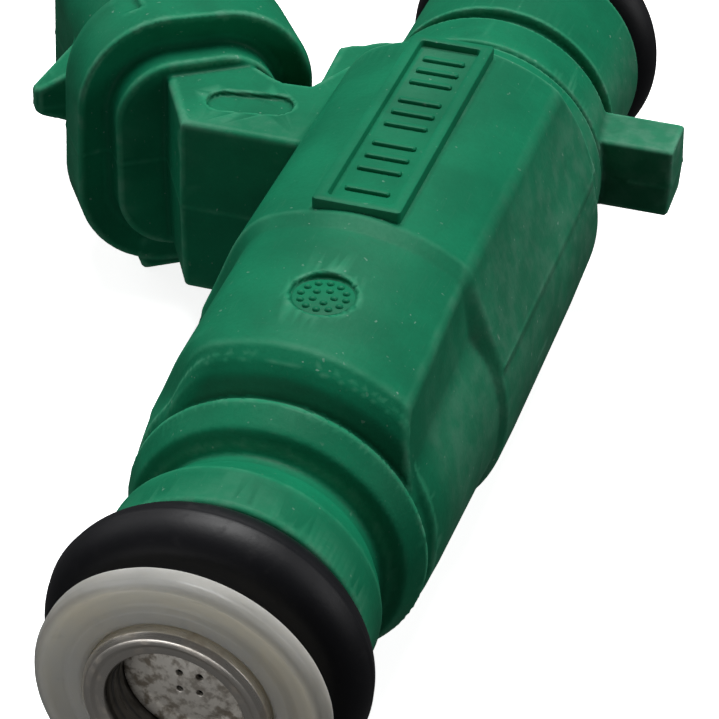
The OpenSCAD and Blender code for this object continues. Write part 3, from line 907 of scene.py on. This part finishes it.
class INJECTOR_OT_plate(BuildStep):
    """Builds the marking plate with its tally bars, and the ring of pips"""
    bl_idname = "injector.plate"
    bl_label = "Marking plate"

    def build(self, scene):
        sizes = scene.injector_plate
        top = node_box("housing")[1].z
        half_x, half_y, rim = sizes.width / MM / 2, PLATE_LENGTH / 2, sizes.rim / MM
        panel = top - sizes.depth / MM
        middle = (0, PLATE_START + half_y, 0)
        pile = Pile()
        levels = [(0.02, 9.2), (0, top - 0.12), (0.03, top - 0.04), (0.1, top), (rim - 0.1, top),
                  (rim - 0.03, top - 0.03), (rim, top - 0.1), (rim + 0.04, panel + 0.05), (rim + 0.12, panel)]
        pile.add(stacked(levels, lambda inset: rounded_loop(half_x - inset, half_y - inset, 0.22)), middle)
        # ten tally bars: one by itself, then three groups of three
        bar_half, bar_thick, bars, pitch, first_bar, group_gap = sizes.bar / MM / 2, 0.2, 10, 1.2, 1.9, 0.7
        for i in range(bars):
            place = PLATE_START + first_bar + pitch * i + group_gap * ((i + 2) // 3)
            bar = stacked([(0, panel - 0.05), (0.01, panel + 0.1), (0.05, panel + 0.16), (0.12, panel + 0.18)],
                          lambda inset: rounded_loop(bar_half - inset, bar_thick - inset, 0.15))
            pile.add(bar, (0, place, 0))
        finish = green_plastic("plate_green", scene.injector_colours)
        add_piece("marking_plate", pile.mesh("marking_plate"), finish)
        # generic ring of pips in the round recess
        pips = Pile()
        floor, sides = MARK_FLOOR - 0.02, 48

        def round_loop(radius):
            turns = [math.tau * i / sides for i in range(sides)]
            return lambda inset: [((radius - inset) * math.cos(t), (radius - inset) * math.sin(t)) for t in turns]

        centre = (MARK_X, MARK_Y, floor)
        pips.add(stacked([(0, -0.05), (0, 0.03), (0.06, 0.05)], round_loop(1.4)), centre)
        for radius, count in ((1.05, 12), (0.5, 5)):
            for i in range(count):
                turn = math.tau * i / count
                pip = stacked([(0, 0), (0.02, 0.1), (0.07, 0.15), (0.12, 0.17)], round_loop(0.19))
                pips.add(pip, (centre[0] + radius * math.cos(turn), centre[1] + radius * math.sin(turn), floor))
        add_piece("mould_pips", pips.mesh("mould_pips"), finish)


class INJECTOR_OT_seals(BuildStep):
    """Builds the two rubber seal rings with their moulding flash"""
    bl_idname = "injector.seals"
    bl_label = "Seal rings"

    def build(self, scene):
        finish = seal_rubber("seal_rubber", scene.injector_colours.rubber)
        points, flash_angle = 96, 0.035
        for name in ("lower_o_ring", "upper_o_ring"):
            low, high = node_box(name)
            cord = (high.y - low.y) / 2
            centre_r, centre_y = high.x - cord, (low.y + high.y) / 2
            profile = []
            for i in range(points):
                turn = math.tau * i / points
                # a thin flash line stands proud all round, inside and outside
                flash = FLASH * math.exp(-(math.sin(turn) / flash_angle) ** 2)
                size = cord - FLASH + flash
                profile.append((centre_r + size * math.cos(turn), centre_y + size * math.sin(turn)))
            mesh = turned_mesh(name + "_rubber", profile, 256)
            add_piece(name + "_rubber", mesh, finish, [name])


class INJECTOR_OT_nose(BuildStep):
    """Builds the tip cap, the steel nose and the spray disc"""
    bl_idname = "injector.nose"
    bl_label = "Nose"

    def build(self, scene):
        colours = scene.injector_colours
        low, high = node_box("tip_cap")
        front, outer = low.y, high.x
        cap = rounded_profile([
            (3.5, -3.1), (4.13, -3.3), (4.13, front + 0.2), (4.36, front + 0.02), (4.86, front + 0.03, 0.2),
            (5.15, front + 0.24, 0.4), (5.75, front + 0.24, 0.4), (6.02, front, 0.25),
            (outer - 0.15, front + 0.02, 0.3), (outer, front + 0.35, 0.3), (outer, -2.63, 0.2),
            (4.6, -2.63, 0.05), (4.6, high.y, 0.05), (3.79, high.y, 0.02), (3.79, -2.5, 0.02), (3.5, -2.6, 0.02)], 0.1)
        mesh = turned_mesh("tip_cap_nylon", cap, 256)
        self.nick(mesh, outer, front)
        add_piece("tip_cap_nylon", mesh, milky_nylon("milky_nylon", colours.nylon), ["tip_cap"])

        tip = node_box("valve_body")[0].y
        steel = turned_metal("nose_steel", colours.nose_steel, 0.24, 0.4, 12.0, 3.02)
        nose = rounded_profile([
            (3.0, tip + 0.28, 0.1), (3.08, tip + 0.12, 0.08), (3.45, tip + 0.1, 0.1), (3.62, tip, 0.12),
            (3.9, tip + 0.02, 0.15), (4.1, tip + 0.28, 0.15), (4.1, -3.35), (3.45, -3.2), (3.45, -2.62), (3.79, -2.45),
            (3.79, 6), (4.3, 6), (4.3, 17), (3.35, 17), (3.35, 10.5), (2.6, 10.5), (2.6, 1.4), (2.99, 1.4, 0.01),
            (2.99, -2.35, 0.01), (2.9, -2.4, 0.03), (2.9, -2.75, 0.03), (2.96, -2.8, 0.03), (2.96, -3.1, 0.03),
            (2.88, -3.15, 0.03), (2.88, -3.45, 0.03), (2.95, -3.5, 0.03), (2.95, -3.75, 0.03)], 0.06, 3)
        mesh = turned_mesh("nose_tube", nose, 224)
        mesh.set_sharp_from_angle(angle=math.radians(50))
        add_piece("nose_tube", mesh, steel, ["valve_body"])

        low, high = node_box("orifice_disc")
        disc_r, face, rear = high.x - 0.01, low.y + 0.03, high.y
        grid = 0.045
        hole_circle, hole_r, blend = 0.62, 0.15, 0.05
        turns = [math.radians(45 + 90 * i) for i in range(4)]
        holes = [(hole_circle * math.cos(t), hole_circle * math.sin(t)) for t in turns]

        def disc(x, y, z):
            r = np.hypot(x, z)
            # the middle bulges towards the tip, inside a shallow pressed ring
            dome = face + 0.16 - 0.16 * np.exp(-(r / 1.35) ** 2) + 0.05 * np.exp(-((r - 2.1) / 0.25) ** 2)
            shape = rounded_max(r - disc_r, dome - y, y - rear, k=blend)
            for hx, hz in holes:
                shape = rounded_max(shape, hole_r - np.hypot(x - hx, z - hz), k=blend)
            return shape

        edge = Vector((0.2, 0.2, 0.2))
        mesh = mesh_of_field("spray_disc", disc, low - edge, high + edge, grid)
        finish = spray_steel("spray_disc_steel", (0.78, 0.74, 0.67))
        add_piece("spray_disc", mesh, finish, ["orifice_disc"])

    def nick(self, mesh, outer, front):
        """Presses a small dent and a few dings into the cap's rim."""
        # where round the rim, how wide in radians and how deep
        dents = [(math.radians(112), 0.17, 0.16), (math.radians(96), 0.1, 0.07), (math.radians(20), 0.08, 0.05)]
        for vertex in mesh.vertices:
            point = vertex.co / MM
            turn, r = math.atan2(point.z, point.x), math.hypot(point.x, point.z)
            near_rim = max(0.0, 1 - abs(r - outer) / 0.5) * max(0.0, 1 - abs(point.y - front - 0.3) / 0.9)
            push = sum(depth * math.exp(-((turn - at) / width) ** 2) for at, width, depth in dents) * near_rim
            if push > 1e-4:
                scale = (r - push) / r
                vertex.co = Vector((point.x * scale, point.y + push * 0.3, point.z * scale)) * MM


class INJECTOR_OT_inlet(BuildStep):
    """Builds the steel pole core with its inlet, and the filter's brass collar"""
    bl_idname = "injector.inlet"
    bl_label = "Inlet"

    def build(self, scene):
        low, high = node_box("pole_core")
        end, flange = high.y, high.x
        # the pole's face stays just clear of the lifted armature
        pole = low.y + 0.01
        core = rounded_profile([
            (1.75, pole), (3.35, pole), (3.35, 20.5), (4.3, 20.5), (4.3, 52.08), (3.79, 52.08), (3.79, end - 1.6),
            (5.7, end - 1.6, 0.12), (flange, end - 1.4, 0.12), (flange, end - 0.3, 0.15), (5.6, end, 0.15),
            (3.2, end, 0.15), (2.9, end - 0.3, 0.1), (2.9, 47.0), (1.75, 47.0)], 0.08)
        mesh = turned_mesh("inlet_tube", core, 192)
        mesh.set_sharp_from_angle(angle=math.radians(50))
        steel = turned_metal("inlet_steel", (0.60, 0.59, 0.57), 0.24, 0.2)
        add_piece("inlet_tube", mesh, steel, ["pole_core"])
        low, high = node_box("filter_collar")
        collar = rounded_profile([(2.2, low.y), (high.x - 0.01, low.y), (high.x - 0.01, high.y), (2.2, high.y)], 0.15)
        mesh = turned_mesh("filter_ring", collar, 128)
        brass = turned_metal("filter_brass", scene.injector_colours.brass, 0.22, 0.15)
        add_piece("filter_ring", mesh, brass, ["filter_collar"])


class INJECTOR_OT_terminals(BuildStep):
    """Builds the two terminals with chamfered blades"""
    bl_idname = "injector.terminals"
    bl_label = "Terminals"

    def build(self, scene):
        sizes = scene.injector_housing
        finish = contact_metal("contact_tin", scene.injector_colours.tin)
        angle, middle, half = sizes.plug_angle, 9.95, 1.4
        tip, root = 51.9, 37.35
        for name in ("terminal_blade_a", "terminal_blade_b"):
            low, high = node_box(name)
            level, thick = (low.z + high.z) / 2, (high.z - low.z) / 2
            pile = Pile()

            def blade_loop(end_inset):
                """Outline of the blade, with a narrowed tip, turned to the plug direction."""
                flat = [(middle - half, root), (middle + half, root), (middle + half, tip - 1.0),
                        (middle + half - 0.55 - end_inset * 0.5, tip - end_inset),
                        (middle - half + 0.55 + end_inset * 0.5, tip - end_inset), (middle - half, tip - 1.0)]
                c, s = math.cos(angle), math.sin(angle)
                return [(l * c - a * s, l * s + a * c) for l, a in flat]

            pile.add(stacked([(0.35, level - thick), (0, level - thick + 0.25), (0, level + thick - 0.25),
                              (0.35, level + thick)], blade_loop))
            strip = [(-5, 25.2), (-4.1, 25.2), (-4.1, 35.2), (-13.2, 38.4), (-14.2, 36.2), (-5, 32.6)]
            pile.add(stacked([(0, level - thick + 0.01), (0, level + thick - 0.01)], lambda inset: strip))
            piece = add_piece(name + "_strip", pile.mesh(name + "_strip"), finish, [name])
            bevel = piece.modifiers.new("edges", "BEVEL")
            bevel.width, bevel.segments, bevel.limit_method = 0.06 * MM, 2, "ANGLE"


class INJECTOR_OT_works(BuildStep):
    """Gives the parts inside the housing their finishes"""
    bl_idname = "injector.works"
    bl_label = "Inner works"

    def build(self, scene):
        copper = tuple(scene.injector_colours.copper)
        finishes = {
            "valve_seat": turned_metal("seat_steel", (0.60, 0.60, 0.60), 0.12, 0.1),
            "valve_ball": turned_metal("ball_steel", (0.72, 0.72, 0.73), 0.06, 0.05, 4.0),
            "needle_tube": turned_metal("needle_steel", (0.62, 0.62, 0.61), 0.2, 0.1),
            "armature": turned_metal("armature_steel", (0.55, 0.55, 0.54), 0.26, 0.2),
            "spacer_sleeve": turned_metal("sleeve_steel", (0.66, 0.64, 0.60), 0.22, 0.1),
            "return_spring": turned_metal("spring_wire", (0.50, 0.50, 0.52), 0.28, 0.15, 3.0),
            "adjusting_sleeve": turned_metal("rolled_sleeve_steel", (0.55, 0.56, 0.58), 0.24, 0.1),
            "magnet_casing": turned_metal("casing_steel", (0.50, 0.49, 0.47), 0.3, 0.3),
            "flux_washer": turned_metal("washer_steel", (0.48, 0.48, 0.47), 0.3, 0.3),
            "coil_bobbin": moulded_plastic("bobbin_black", (0.03, 0.03, 0.034), 0.4),
            "filter_basket": moulded_plastic("filter_blue", (0.03, 0.05, 0.14), 0.35),
            "coil_winding": wound_wire("copper_wire", copper),
            "filter_mesh": woven_gauze("filter_gauze", (0.62, 0.62, 0.56)),
        }
        for node, material in finishes.items():
            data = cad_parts[node].data
            data.materials.clear()
            data.materials.append(material)


class INJECTOR_PT_panel(bpy.types.Panel):
    """Sizes, colours and build steps of the injector."""
    bl_label = "Fuel Injector"
    bl_idname = "INJECTOR_PT_panel"
    bl_space_type = "VIEW_3D"
    bl_region_type = "UI"
    bl_category = "Injector"

    def draw(self, context):
        for group in GROUPS:
            box = self.layout.box()
            settings = getattr(context.scene, group)
            for name in settings.__annotations__:
                box.prop(settings, name)
        for step in STEPS:
            self.layout.operator(step.bl_idname)


GROUPS = {"injector_housing": HousingSizes, "injector_plate": PlateSizes, "injector_colours": Colours}
STEPS = (INJECTOR_OT_stage, INJECTOR_OT_housing, INJECTOR_OT_plate, INJECTOR_OT_seals, INJECTOR_OT_nose,
         INJECTOR_OT_inlet, INJECTOR_OT_terminals, INJECTOR_OT_works)
CLASSES = (*GROUPS.values(), *STEPS, INJECTOR_PT_panel)


def register():
    for cls in CLASSES:
        bpy.utils.register_class(cls)
    for name, group in GROUPS.items():
        setattr(bpy.types.Scene, name, PointerProperty(type=group))


def unregister():
    for name in GROUPS:
        delattr(bpy.types.Scene, name)
    for cls in reversed(CLASSES):
        bpy.utils.unregister_class(cls)


def main():
    register()
    for step in STEPS:
        family, name = step.bl_idname.split(".")
        getattr(getattr(bpy.ops, family), name)()


if __name__ == "__main__":
    main()
